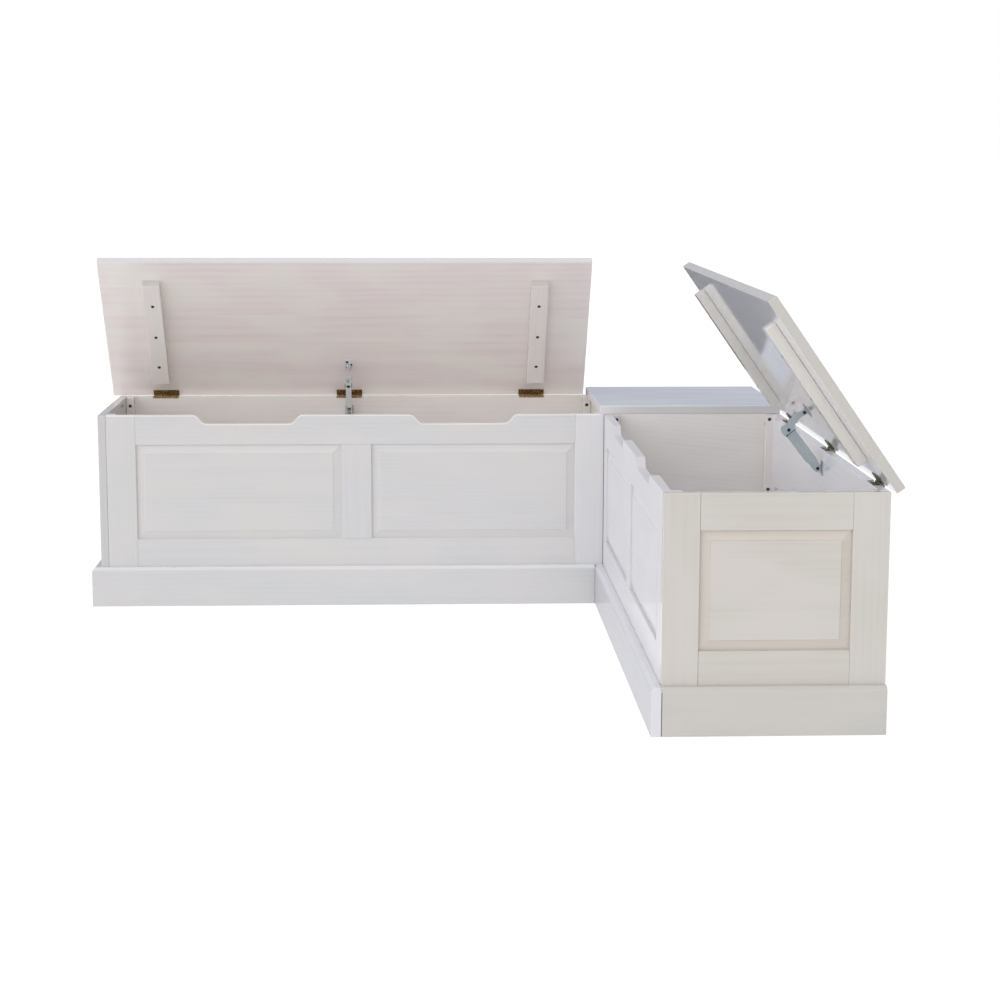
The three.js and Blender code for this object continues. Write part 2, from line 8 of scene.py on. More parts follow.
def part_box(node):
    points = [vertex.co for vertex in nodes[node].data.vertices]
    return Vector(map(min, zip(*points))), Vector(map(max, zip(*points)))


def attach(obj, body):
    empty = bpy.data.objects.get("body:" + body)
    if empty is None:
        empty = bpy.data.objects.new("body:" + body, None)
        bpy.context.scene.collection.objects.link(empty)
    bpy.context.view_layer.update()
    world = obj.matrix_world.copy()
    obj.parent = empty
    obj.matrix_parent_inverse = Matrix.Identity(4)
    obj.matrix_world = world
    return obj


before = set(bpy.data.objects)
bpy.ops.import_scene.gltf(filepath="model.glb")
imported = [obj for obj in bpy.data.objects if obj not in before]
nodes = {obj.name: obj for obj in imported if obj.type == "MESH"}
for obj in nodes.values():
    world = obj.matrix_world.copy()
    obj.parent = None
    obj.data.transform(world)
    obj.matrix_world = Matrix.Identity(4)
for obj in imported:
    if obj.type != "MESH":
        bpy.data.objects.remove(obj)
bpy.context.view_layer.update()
MM = 0.001

# Frames of the two fronts and the two outer ends: stiles, rails and muntins of solid pine, grooved
# for the panels and joined with stub tongues. They are brushed with white glaze, varnished satin,
# and their arrises are taken off by hand.
CHESTS = {  # directions from the corner along each chest, and from its front to its back
    "left": {"along": (-1, 0, 0), "back": (0, 1, 0)},
    "right": {"along": (0, -1, 0), "back": (1, 0, 0)},
}
UP = (0, 0, 1)
ARRIS = 1.0 * MM
ARRIS_TURN = math.radians(35)  # every edge that turns more gets an arris
FLAT_TURN = math.radians(0.4)  # faces that turn less become one face first
WELD_REACH = 0.01 * MM
# Top members of the fronts; below their upper arris the edge tone is painted on as a painted
# highlight.
RIM_MEMBERS = ("front_stile_inner", "front_stile_outer", "front_top_rail")
RIM_PAINTED_HIGHLIGHT = {"left": 5.0 * MM, "right": 0.0}
FRAME_SHOW = 0.4
FRONT_COAT = {"left": 1.0, "right": 0.25}
# Tones differ by side and piece as painted light and shade, lighter or darker by how light falls.
FRONT_GLAZE_AND_LIGHT = {
    # edge: the inside's glaze on the inner side, and a painted highlight on the left tops and
    # slopes
    "left": {"white": "#d2cfcd", "shade": "#cecece", "wood": "#bdada0", "edge": "#f6f4f2"},
    # edge: darker on the right tops and slopes, as painted shade
    "right": {"white": "#dcdadb", "shade": "#d8d8db", "wood": "#cbbfb7", "edge": "#d4d2d4"},
}
# The corner stile is painted lighter: painted light against the shade cast by the right chest.
CORNER_STILE_PAINTED_LIGHT = {"white": "#dad7d6", "shade": "#d6d6d7", "wood": "#c5b6a9", "edge": "#f6f4f2"}
# The two outer ends differ in tone as painted light and painted shade.
END_GLAZE_AND_LIGHT = {
    "left": {"white": "#c8c6c4", "shade": "#c5c5c5", "wood": "#b5a697"},
    "right": {"white": "#cfcac4", "shade": "#cbc7bf", "wood": "#bda88c"},
}


def linear(colour):
    """Linear RGBA of an sRGB hex colour."""
    parts = [int(colour[i : i + 2], 16) / 255 for i in (1, 3, 5)]
    return [c / 12.92 if c <= 0.04045 else ((c + 0.055) / 1.055) ** 2.4 for c in parts] + [1.0]


def add_node(tree, kind, inputs=None, **settings):
    """A new node with its settings, its input values, and the nodes or sockets linked into it."""
    node = tree.nodes.new(kind)
    for setting, value in settings.items():
        setattr(node, setting, value)
    for place, value in (inputs or {}).items():
        if isinstance(value, bpy.types.Node):
            value = value.outputs[0]
        if isinstance(value, bpy.types.NodeSocket):
            tree.links.new(value, node.inputs[place])
        else:
            node.inputs[place].default_value = value
    return node


def new_material(name):
    """A material with an empty node tree, and that tree."""
    material = bpy.data.materials.new(name)
    material.use_nodes = True
    material.node_tree.nodes.clear()
    return material, material.node_tree


# White glazed pine: flat-sawn boards under thin white glaze and satin varnish. Growth rings and
# fibres only just show through the glaze, and the smooth varnish mirrors at a low angle. Real
# fibres are finer than 1 mm. They are drawn wider here, because they wouldn't show otherwise.
RING_WIDTH = 8.0 * MM
RING_STRETCH = (0.16, 1, 1)  # rings run on along the grain
PITH_DEPTH = 70 * MM
FIBRE_WIDTH = 2.6 * MM
FIBRE_LENGTH = 120 * MM
STREAK_WIDTH = 9 * MM
STREAK_LENGTH = 300 * MM
BLOTCH = 90 * MM
KNOT_SPACING = 210 * MM
KNOT_RADIUS = 6.0 * MM
KNOT_STRETCH = (0.6, 1, 0)  # knots lie further apart along the grain
KNOT_FREE = 0.66  # share of the cells without a knot
KNOT_TONE = "#a8977f"
KNOT_TINT = 0.3
STAVE_WIDTH = 86 * MM
STAVE_SHIFT = (2.0, 0.06, 0.03)
STAVE_TINT = 0.06  # a tint is how much wood shows there through the glaze
LATE_WOOD_TINT = 0.16
FIBRE_TINT = 0.14
STREAK_TINT = 0.3
END_GRAIN_SHARE = 0.15
WAVE_PERIOD = 0.314159  # the ring wave's period at scale 1, in metres
GRAIN_DEPTH = 0.1 * MM
VARNISH_ROUGHNESS = 0.06
VARNISH_IOR = 1.5
board_places = np.random.default_rng(23)


def board_axes(grain, face):
    """Euler angles that turn the grain to X, the width of the board to Y and its face to Z."""
    x, z = Vector(grain).normalized(), Vector(face).normalized()
    return Matrix((x, z.cross(x), z)).to_euler("XYZ")


def white_glazed_pine(
    name, grain, face, glaze, show=1.0, staves=False, other=None, bevel=0.0, coat=1.0, rim=0.0
):
    """Satin white glazed pine with the grain along a direction, each board from its own place.

    Rings are waves of the distance to the pith, which runs along the grain below the face. At a
    knot that distance swells, so the rings run round it. show is how strongly wood shows through,
    bevel how much more of it on sloping faces, and coat how thick the varnish is. other is (axis,
    limit, grain, face) for the part of the piece past a plane, such as the board behind a cleat.
    rim is how far from an upper arris the glaze has the colour of the edges, as a painted
    highlight. glaze may name a colour for edges, partly the board's own and partly painted light
    and shade, for sawn ends, also partly painted light and shade, for the outer side of a lid and
    for what isn't past the plane.
    """
    material, tree = new_material(name)
    here = add_node(tree, "ShaderNodeTexCoord")
    place = [float(v) for v in board_places.uniform((-4, -0.2, -0.2), (4, 0.2, 0.2))]
    board = add_node(
        tree,
        "ShaderNodeMapping",
        {"Vector": here.outputs["Object"], "Rotation": board_axes(grain, face), "Location": place},
    ).outputs[0]
    if other:
        axis, limit, other_grain, other_face = other
        parts = add_node(tree, "ShaderNodeSeparateXYZ", {0: here.outputs["Object"]})
        past = add_node(
            tree, "ShaderNodeMath", {0: parts.outputs[axis], 1: limit}, operation="GREATER_THAN"
        )
        turned = add_node(
            tree,
            "ShaderNodeMapping",
            {
                "Vector": here.outputs["Object"],
                "Rotation": board_axes(other_grain, other_face),
                "Location": place,
            },
        )
        board = add_node(
            tree, "ShaderNodeMix", {"Factor": past, 4: board, 5: turned}, data_type="VECTOR"
        ).outputs[1]

    # Glued-up boards: each stave comes from another place in the tree
    if staves:
        across = add_node(tree, "ShaderNodeSeparateXYZ", {0: board}).outputs[1]
        number = add_node(tree, "ShaderNodeMath", {0: across, 1: STAVE_WIDTH}, operation="DIVIDE")
        number = add_node(tree, "ShaderNodeMath", {0: number}, operation="FLOOR")
        stave = add_node(tree, "ShaderNodeTexWhiteNoise", {"W": number}, noise_dimensions="1D")
        shift = add_node(
            tree,
            "ShaderNodeVectorMath",
            {0: stave.outputs["Color"], 1: STAVE_SHIFT},
            operation="MULTIPLY",
        )
        board = add_node(
            tree, "ShaderNodeVectorMath", {0: board, 1: shift}, operation="ADD"
        ).outputs[0]

    # Knots, one in every few cells of the board's face
    flat = add_node(
        tree, "ShaderNodeVectorMath", {0: board, 1: KNOT_STRETCH}, operation="MULTIPLY"
    )
    cells = add_node(
        tree, "ShaderNodeTexVoronoi", {"Vector": flat, "Scale": 1 / KNOT_SPACING, "Randomness": 0.9}
    )
    lot = add_node(tree, "ShaderNodeSeparateColor", {0: cells.outputs["Color"]})
    found = add_node(tree, "ShaderNodeMath", {0: lot, 1: KNOT_FREE}, operation="GREATER_THAN")
    knot_share = KNOT_RADIUS / KNOT_SPACING
    knot = add_node(
        tree,
        "ShaderNodeMapRange",
        {
            "Value": cells.outputs["Distance"],
            "From Min": 1.4 * knot_share,
            "From Max": 0.5 * knot_share,
            "To Max": found,
        },
        interpolation_type="SMOOTHSTEP",
    )
    swell = add_node(
        tree,
        "ShaderNodeMapRange",
        {
            "Value": cells.outputs["Distance"],
            "From Min": 6.0 * knot_share,
            "From Max": 0.0,
            "To Max": found,
        },
        interpolation_type="SMOOTHSTEP",
    )

    # Growth rings, fibres, and wide soft streaks where the brush left less glaze
    depth = add_node(
        tree,
        "ShaderNodeMath",
        {0: swell, 1: 2.5 * RING_WIDTH, 2: PITH_DEPTH},
        operation="MULTIPLY_ADD",
    )
    lifted = add_node(tree, "ShaderNodeCombineXYZ", {"Z": depth})
    rings_at = add_node(
        tree,
        "ShaderNodeVectorMath",
        {0: board, 1: RING_STRETCH, 2: lifted},
        operation="MULTIPLY_ADD",
    )
    rings = add_node(
        tree,
        "ShaderNodeTexWave",
        {
            "Vector": rings_at,
            "Scale": WAVE_PERIOD / RING_WIDTH,
            "Distortion": 4.5,
            "Detail": 2.0,
            "Detail Scale": 0.22,
        },
        wave_type="RINGS",
        rings_direction="X",
    )
    late_wood = add_node(
        tree,
        "ShaderNodeMapRange",
        {"Value": rings.outputs["Fac"], "From Min": 0.3, "From Max": 1.0},
        interpolation_type="SMOOTHSTEP",
    )
    fibres_at = add_node(
        tree,
        "ShaderNodeVectorMath",
        {0: board, 1: (1 / FIBRE_LENGTH, 1 / FIBRE_WIDTH, 1 / FIBRE_WIDTH)},
        operation="MULTIPLY",
    )
    fibres = add_node(
        tree,
        "ShaderNodeTexNoise",
        {"Vector": fibres_at, "Scale": 1.0, "Detail": 3.0, "Roughness": 0.6},
    )
    streaks_at = add_node(
        tree,
        "ShaderNodeVectorMath",
        {0: board, 1: (1 / STREAK_LENGTH, 1 / STREAK_WIDTH, 1 / STREAK_WIDTH)},
        operation="MULTIPLY",
    )
    streaks = add_node(
        tree,
        "ShaderNodeTexNoise",
        {"Vector": streaks_at, "Scale": 1.0, "Detail": 3.0, "Roughness": 0.55, "Distortion": 0.3},
    )
    blotches_at = add_node(
        tree,
        "ShaderNodeVectorMath",
        {0: board, 1: (0.4 / BLOTCH, 1 / BLOTCH, 1 / BLOTCH)},
        operation="MULTIPLY",
    )
    blotches = add_node(
        tree, "ShaderNodeTexNoise", {"Vector": blotches_at, "Scale": 1.0, "Detail": 2.0}
    )

    # How much wood shows: late wood, fibres and brush streaks, in some places more than in others
    # and little on end grain. Staves differ in tone, and sloping faces are barer.
    bare = add_node(
        tree, "ShaderNodeMath", {0: late_wood, 1: LATE_WOOD_TINT * show}, operation="MULTIPLY"
    )
    for value, low, high, share in (
        (fibres, 0.45, 0.8, FIBRE_TINT * show),
        (streaks, 0.48, 0.85, STREAK_TINT * show),
    ):
        part = add_node(
            tree,
            "ShaderNodeMapRange",
            {"Value": value, "From Min": low, "From Max": high, "To Max": share},
            interpolation_type="SMOOTHSTEP",
        )
        bare = add_node(tree, "ShaderNodeMath", {0: bare, 1: part}, operation="ADD")
    thin_glaze = add_node(
        tree,
        "ShaderNodeMapRange",
        {"Value": blotches, "From Min": 0.35, "From Max": 0.7, "To Min": 0.35, "To Max": 1.3},
        interpolation_type="SMOOTHSTEP",
    )
    bare = add_node(tree, "ShaderNodeMath", {0: bare, 1: thin_glaze}, operation="MULTIPLY")
    cut_across = add_node(
        tree,
        "ShaderNodeVectorMath",
        {0: here.outputs["Normal"], 1: Vector(grain).normalized()},
        operation="DOT_PRODUCT",
    ).outputs["Value"]
    cut_across = add_node(tree, "ShaderNodeMath", {0: cut_across}, operation="ABSOLUTE")
    sawn_end = add_node(
        tree, "ShaderNodeMapRange", {"Value": cut_across, "From Min": 0.5, "From Max": 0.9}
    )
    closed = add_node(
        tree, "ShaderNodeMapRange", {"Value": sawn_end, "To Min": 1.0, "To Max": END_GRAIN_SHARE}
    )
    bare = add_node(tree, "ShaderNodeMath", {0: bare, 1: closed}, operation="MULTIPLY")
    if staves:
        bare = add_node(
            tree,
            "ShaderNodeMath",
            {0: stave.outputs["Value"], 1: STAVE_TINT * show, 2: bare},
            operation="MULTIPLY_ADD",
        )
    facing = add_node(
        tree,
        "ShaderNodeVectorMath",
        {0: here.outputs["Normal"], 1: Vector(face).normalized()},
        operation="DOT_PRODUCT",
    ).outputs["Value"]
    if bevel:
        slope = add_node(
            tree,
            "ShaderNodeMapRange",
            {"Value": facing, "From Min": 0.999, "From Max": 0.985, "To Max": bevel},
            interpolation_type="SMOOTHSTEP",
        )
        bare = add_node(tree, "ShaderNodeMath", {0: bare, 1: slope}, operation="ADD")

    # Colours: glaze over wood, then what the glaze names for some of the faces, where it paints
    # light and shade on turned faces and on sawn ends, then the knots
    cover = add_node(
        tree,
        "ShaderNodeMapRange",
        {"Value": blotches, "From Min": 0.35, "From Max": 0.65},
        interpolation_type="SMOOTHSTEP",
    )
    glazed = add_node(
        tree,
        "ShaderNodeMix",
        {"Factor": cover, 6: linear(glaze["white"]), 7: linear(glaze["shade"])},
        data_type="RGBA",
    ).outputs[2]
    wooden = add_node(
        tree,
        "ShaderNodeMix",
        {"Factor": bare, 6: glazed, 7: linear(glaze["wood"])},
        data_type="RGBA",
    ).outputs[2]
    if "cleat" in glaze:
        wooden = add_node(
            tree,
            "ShaderNodeMix",
            {"Factor": past, 6: linear(glaze["cleat"]), 7: wooden},
            data_type="RGBA",
        ).outputs[2]
    # Faces turned away from the board's face take the edge tone: the board's own on inner sides,
    # painted light and shade on tops, arrises and chamfers.
    if "edge" in glaze:
        turned_tone_and_light = add_node(
            tree, "ShaderNodeMapRange", {"Value": facing, "From Min": 0.85, "From Max": 0.6}
        )
        edge = linear(glaze["edge"])
        if "outer" in glaze:
            outer = add_node(
                tree, "ShaderNodeMapRange", {"Value": facing, "From Min": -0.6, "From Max": -0.85}
            )
            edge = add_node(
                tree,
                "ShaderNodeMix",
                {"Factor": outer, 6: edge, 7: linear(glaze["outer"])},
                data_type="RGBA",
            ).outputs[2]
        edge = add_node(
            tree,
            "ShaderNodeMix",
            {"Factor": bare, 6: edge, 7: linear(glaze["wood"])},
            data_type="RGBA",
        ).outputs[2]
        # Painted highlight: where the rounded normal near an upper arris turns up, the edge tone is
        # painted on.
        if rim:
            rounded = add_node(tree, "ShaderNodeBevel", {"Radius": rim}, samples=8)
            risen = add_node(
                tree, "ShaderNodeVectorMath", {0: rounded, 1: UP}, operation="DOT_PRODUCT"
            ).outputs["Value"]
            painted_rim_highlight = add_node(
                tree, "ShaderNodeMapRange", {"Value": risen, "From Min": 0.08, "From Max": 0.5}
            )
            turned_tone_and_light = add_node(
                tree, "ShaderNodeMath", {0: turned_tone_and_light, 1: painted_rim_highlight}, operation="MAXIMUM"
            )
        wooden = add_node(
            tree, "ShaderNodeMix", {"Factor": turned_tone_and_light, 6: wooden, 7: edge}, data_type="RGBA"
        ).outputs[2]
    # Sawn ends take the end tone: painted light on the corner top, darker end grain with painted
    # shade on the battens.
    if "end" in glaze:
        wooden = add_node(
            tree,
            "ShaderNodeMix",
            {"Factor": sawn_end, 6: wooden, 7: linear(glaze["end"])},
            data_type="RGBA",
        ).outputs[2]
    knot_tint = add_node(tree, "ShaderNodeMath", {0: knot, 1: KNOT_TINT}, operation="MULTIPLY")
    colour = add_node(
        tree,
        "ShaderNodeMix",
        {"Factor": knot_tint, 6: wooden, 7: linear(KNOT_TONE)},
        data_type="RGBA",
    ).outputs[2]
    relief = add_node(
        tree, "ShaderNodeMath", {0: late_wood, 1: 0.6, 2: fibres}, operation="MULTIPLY_ADD"
    )
    bump = add_node(
        tree, "ShaderNodeBump", {"Height": relief, "Strength": 0.3, "Distance": GRAIN_DEPTH}
    )
    roughness = add_node(
        tree, "ShaderNodeMapRange", {"Value": fibres, "To Min": 0.46, "To Max": 0.62}
    )
    shader = add_node(
        tree,
        "ShaderNodeBsdfPrincipled",
        {
            "Base Color": colour,
            "Roughness": roughness,
            "IOR": 1.45,
            "Normal": bump,
            "Coat Weight": coat,
            "Coat Roughness": VARNISH_ROUGHNESS,
            "Coat IOR": VARNISH_IOR,
        },
    )
    add_node(tree, "ShaderNodeOutputMaterial", {"Surface": shader})
    return material


def dress(node, material):
    """Gives a board its finish and takes off its arrises: weld, clear flat faces, bevel."""
    piece = nodes[node]
    piece.data.materials.clear()
    piece.data.materials.append(material)
    weld = piece.modifiers.new("weld", "WELD")
    weld.merge_threshold = WELD_REACH
    clean = piece.modifiers.new("clean", "DECIMATE")
    clean.decimate_type = "DISSOLVE"
    clean.angle_limit = FLAT_TURN
    ease = piece.modifiers.new("ease", "BEVEL")
    ease.width = ARRIS
    ease.segments = 2
    ease.limit_method = "ANGLE"
    ease.angle_limit = ARRIS_TURN


for side, way in CHESTS.items():
    out = -Vector(way["back"])
    for member, grain, face in (
        ("front_stile_inner", UP, out),
        ("front_stile_outer", UP, out),
        ("front_muntin", UP, out),
        ("front_top_rail", way["along"], out),
        ("front_bottom_rail", way["along"], out),
        ("end_stile_front", UP, way["along"]),
        ("end_stile_back", UP, way["along"]),
        ("end_top_rail", way["back"], way["along"]),
        ("end_bottom_rail", way["back"], way["along"]),
    ):
        member_name = f"{side}_{member}"
        glaze = END_GLAZE_AND_LIGHT[side] if member.startswith("end") else FRONT_GLAZE_AND_LIGHT[side]
        # painted light: the corner stile takes a lighter glaze than the rest of the left front
        if member_name == "left_front_stile_inner":
            glaze = CORNER_STILE_PAINTED_LIGHT
        coat = 1.0 if member.startswith("end") else FRONT_COAT[side]
        # the left front's top members get a painted highlight
        rim = RIM_PAINTED_HIGHLIGHT[side] if member in RIM_MEMBERS else 0.0
        pine = white_glazed_pine(
            f"pine_{member_name}", grain, face, glaze, FRAME_SHOW, coat=coat, rim=rim
        )
        dress(member_name, pine)

# Raised panels, glued up from staves with the grain lying level. Their edges stand loose in the
# grooves of the frame, and the bevel round the field has soaked up less of the glaze. On the end
# panels the bevel is painted darker still: bare wood, and painted shade as well.
BEVEL_TINT = 0.03
# the end panels' bevels: more bare wood, and painted shade
END_BEVEL_TINT_AND_SHADE = 0.18
for side, way in CHESTS.items():
    out = -Vector(way["back"])
    for member, grain, face, glaze, bevel, coat in (
        ("front_panel_inner", way["along"], out, FRONT_GLAZE_AND_LIGHT[side], BEVEL_TINT, FRONT_COAT[side]),
        ("front_panel_outer", way["along"], out, FRONT_GLAZE_AND_LIGHT[side], BEVEL_TINT, FRONT_COAT[side]),
        ("end_panel", way["back"], way["along"], END_GLAZE_AND_LIGHT[side], END_BEVEL_TINT_AND_SHADE, 1.0),
    ):
        member_name = f"{side}_{member}"
        pine = white_glazed_pine(
            f"pine_{member_name}",
            grain,
            face,
            glaze,
            FRAME_SHOW,
            staves=True,
            bevel=bevel,
            coat=coat,
        )
        dress(member_name, pine)

# Back walls, corner walls and floors: plain boards with thinner glaze on the inside, so that the
# grain shows more. Square cleats stand in the corners and run under the floors.
# The inside is painted lighter than the outside: painted light inside the chests.
INSIDE_GLAZE_AND_LIGHT = {"white": "#f1ede9", "shade": "#eeebe7", "wood": "#d4c5b8"}
# The back walls differ by side as painted light: the right one is a lighter, cooler white.
BACK_GLAZE_AND_LIGHT = {
    "left": {"white": "#e5dfda", "shade": "#e2dcd8", "wood": "#c9baad"},
    "right": {"white": "#f2f1f4", "shade": "#edeef2", "wood": "#d2c8c2", "cleat": "#f0e9e4"},
}
WALL_BOARD = 18 * MM
FAR_WALL_GRAIN = (1, 0, -0.1)  # not quite level
for side, way in CHESTS.items():
    out = -Vector(way["back"])
    depth_axis = 1 if side == "left" else 0
    wall_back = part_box(f"{side}_back_wall")[1][depth_axis]
    wall = white_glazed_pine(
        f"pine_{side}_back_wall",
        UP,
        out,
        BACK_GLAZE_AND_LIGHT[side],
        show=0.4,
        other=(depth_axis, wall_back - WALL_BOARD - ARRIS / 2, way["along"], out),
    )
    dress(f"{side}_back_wall", wall)
    floor_pine = white_glazed_pine(
        f"pine_{side}_floor", way["along"], UP, INSIDE_GLAZE_AND_LIGHT, show=0.8, staves=True
    )
    dress(f"{side}_floor", floor_pine)
corner_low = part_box("corner_inner_walls")[0]
corner_walls = white_glazed_pine(
    "pine_corner_inner_walls",
    FAR_WALL_GRAIN,
    (0, -1, 0),
    INSIDE_GLAZE_AND_LIGHT,
    show=0.45,
    staves=True,
    other=(1, corner_low.y + WALL_BOARD + ARRIS / 2, (0, 1, 0), (-1, 0, 0)),
)
dress("corner_inner_walls", corner_walls)

# Screws through the corner cleats: two into the front face of each cleat and two, a little higher,
# into its side. They are countersunk and cross-headed, of steel browned in an oil bath, so they
# look like near-black dots with a dull shine.
SCREW_RADIUS = 4.1 * MM
SCREW_CROWN = 0.6 * MM
CROSS_DEPTH = 0.4 * MM
SCREW_SUNK = 1.0 * MM
HEAD_SIDES = 28
HEAD_RINGS = (0.06, 0.16, 0.26, 0.36, 0.46, 0.56, 0.66, 0.82, 0.94, 1.0, 1.0)
CROSS_HALF_WIDTH = 0.2  # the rings and the cross are in shares of the head's radius
CROSS_REACH = 0.62
CROSS_SIDE_SLOPE = 0.07
CROSS_END_SLOPE = 0.1
CLEAT_WIDTH = 19 * MM
CLEAT_STARTS = (0.3 * MM, 1147.7 * MM)
CHEST_INSIDE = (18 * MM, 398 * MM)
FACE_SCREWS = (428 * MM, 264.5 * MM)
SIDE_SCREWS = (439 * MM, 272.5 * MM)
MOTTLE = 2 * MM
MOTTLE_ROUGHNESS = 0.08


def mottled(name, dark, light, metallic, rough):
    """A dull surface in two close tones, in patches up to 2 mm across."""
    material, tree = new_material(name)
    here = add_node(tree, "ShaderNodeTexCoord")
    patches = add_node(
        tree,
        "ShaderNodeTexNoise",
        {"Vector": here.outputs["Object"], "Scale": 1 / MOTTLE, "Detail": 3.0},
    )
    colour = add_node(
        tree,
        "ShaderNodeMix",
        {"Factor": patches, 6: linear(dark), 7: linear(light)},
        data_type="RGBA",
    ).outputs[2]
    roughness = add_node(
        tree,
        "ShaderNodeMapRange",
        {
            "Value": patches,
            "To Min": rough - MOTTLE_ROUGHNESS,
            "To Max": rough + MOTTLE_ROUGHNESS,
        },
    )
    shader = add_node(
        tree,
        "ShaderNodeBsdfPrincipled",
        {"Base Color": colour, "Roughness": roughness, "Metallic": metallic},
    )
    add_node(tree, "ShaderNodeOutputMaterial", {"Surface": shader})
    return material


def new_piece(name, points, faces):
    """A mesh object of points and faces, linked to the scene."""
    mesh = bpy.data.meshes.new(name)
    mesh.from_pydata(points, [], faces)
    piece = bpy.data.objects.new(name, mesh)
    bpy.context.scene.collection.objects.link(piece)
    return piece


def round_heads(name, centres, facings, radius, crown, cross, sunk):
    """One mesh of round heads, each drawn on rings round its middle.

    Height over the face at a share r of the radius is crown * (1 - r * r), less the cross: a bar
    with sloping sides and ends along each of the head's two axes. The last ring is sunk in the
    wood and closes the head below.
    """
    centres, facings = np.asarray(centres, float), np.asarray(facings, float)
    helper = np.where(np.abs(facings[:, 2:3]) < 0.9, (0.0, 0.0, 1.0), (1.0, 0.0, 0.0))
    level = np.cross(helper, facings)
    level /= np.linalg.norm(level, axis=1, keepdims=True)
    steep = np.cross(facings, level)
    turns = np.linspace(0, 2 * np.pi, HEAD_SIDES, endpoint=False)
    x, y = np.outer(HEAD_RINGS, np.cos(turns)), np.outer(HEAD_RINGS, np.sin(turns))
    narrow, reach = np.minimum(np.abs(x), np.abs(y)), np.maximum(np.abs(x), np.abs(y))
    cut = np.clip((CROSS_HALF_WIDTH - narrow) / CROSS_SIDE_SLOPE, 0, 1)
    cut *= np.clip((CROSS_REACH - reach) / CROSS_END_SLOPE, 0, 1)
    z = crown * (1 - x**2 - y**2) - cross * cut
    z[-1] = -sunk
    points = (
        centres[:, None, None]
        + radius * x[..., None] * level[:, None, None]
        + radius * y[..., None] * steep[:, None, None]
        + z[..., None] * facings[:, None, None]
    )
    heads, rings, sides = points.shape[:3]
    index = np.arange(heads * rings * sides).reshape(heads, rings, sides)
    after = np.roll(index, -1, axis=2)
    walls = np.stack([index[:, :-1], index[:, 1:], after[:, 1:], after[:, :-1]], axis=-1)
    faces = walls.reshape(-1, 4).tolist() + index[:, 0].tolist() + index[:, -1, ::-1].tolist()
    return new_piece(name, points.reshape(-1, 3).tolist(), faces)


def chest_point(way, u, y, z):
    """Row-frame place of a point u along a chest from the corner, y back from its front, z up."""
    return corner_low + u * Vector(way["along"]) + y * Vector(way["back"]) + z * Vector(UP)


browned = mottled("browned_screw_steel", "#211a15", "#3d322a", metallic=0.1, rough=0.5)
for side, way in CHESTS.items():
    along, back = Vector(way["along"]), Vector(way["back"])
    centres, facings = [], []
    for start, inward in ((CLEAT_STARTS[0], along), (CLEAT_STARTS[1], -along)):
        side_face = start + (CLEAT_WIDTH if inward == along else 0)
        for wall_face, outward in ((CHEST_INSIDE[0], back), (CHEST_INSIDE[1], -back)):
            towards = 1 if outward == back else -1
            for height in FACE_SCREWS:
                face = wall_face + towards * CLEAT_WIDTH
                centres.append(chest_point(way, start + CLEAT_WIDTH / 2, face, height))
                facings.append(outward)
            for height in SIDE_SCREWS:
                middle = wall_face + towards * CLEAT_WIDTH / 2
                centres.append(chest_point(way, side_face, middle, height))
                facings.append(inward)
    cleat_screws = round_heads(
        f"{side}_cleat_screws", centres, facings, SCREW_RADIUS, SCREW_CROWN, CROSS_DEPTH, SCREW_SUNK
    )
    cleat_screws.data.materials.append(browned)
    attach(cleat_screws, "carcass")

# Plinth boards of the same glazed pine, planted on the fronts and the outer ends. Each has a
# chamfer along its top. On the long ones it is painted paler, as a painted highlight, and the
# right long one is painted darker, as painted shade.
# painted shade on the right long plinth, painted highlight on the chamfers
PLINTH_GLAZE_AND_LIGHT = {
    "left": {"white": "#d1cfce", "shade": "#cdcece", "wood": "#bcafa5", "edge": "#e6e4e4"},
    "right": {"white": "#c3c2c5", "shade": "#c0c1c5", "wood": "#b1a69e", "edge": "#dfdee2"},
}
END_PLINTH_GLAZE = {"white": "#c8c5be", "shade": "#c4c2bd", "wood": "#b5a68e"}
for side, way in CHESTS.items():
    for member, grain, face, glaze, coat in (
        ("plinth_long", way["along"], -Vector(way["back"]), PLINTH_GLAZE_AND_LIGHT[side], FRONT_COAT[side]),
        ("plinth_end", way["back"], way["along"], END_PLINTH_GLAZE, 1.0),
    ):
        member_name = f"{side}_{member}"
        pine = white_glazed_pine(f"pine_{member_name}", grain, face, glaze, FRAME_SHOW, coat=coat)
        dress(member_name, pine)

# Open joints: the two chests only stand against each other, and the end plinth only butts against
# the long one. Thin matt strips stand in the joints as painted shade: the dark lines of the gaps.
JOINT_SHADE_WIDTH = 1.0 * MM
JOINT_SUNK = 0.15 * MM
PLINTH_HEIGHT = 92 * MM
PLINTH_CHAMFER = 7 * MM


def thin_bar(name, foot, rise, across, inward):
    """A closed straight bar: foot + i * across + j * inward + k * rise for i, j, k of 0 and 1."""
    ring = [(0, 0), (1, 0), (1, 1), (0, 1)]
    i, j, k = np.array([(*corner, end) for end in (0, 1) for corner in ring], float).T[:, :, None]
    points = np.array(foot) + i * np.array(across) + j * np.array(inward) + k * np.array(rise)
    faces = [(3, 2, 1, 0), (4, 5, 6, 7), (0, 1, 5, 4), (1, 2, 6, 5), (2, 3, 7, 6), (3, 0, 4, 7)]
    if Vector(across).cross(Vector(inward)).dot(Vector(rise)) < 0:
        faces = [face[::-1] for face in faces]
    return new_piece(name, points.tolist(), faces)


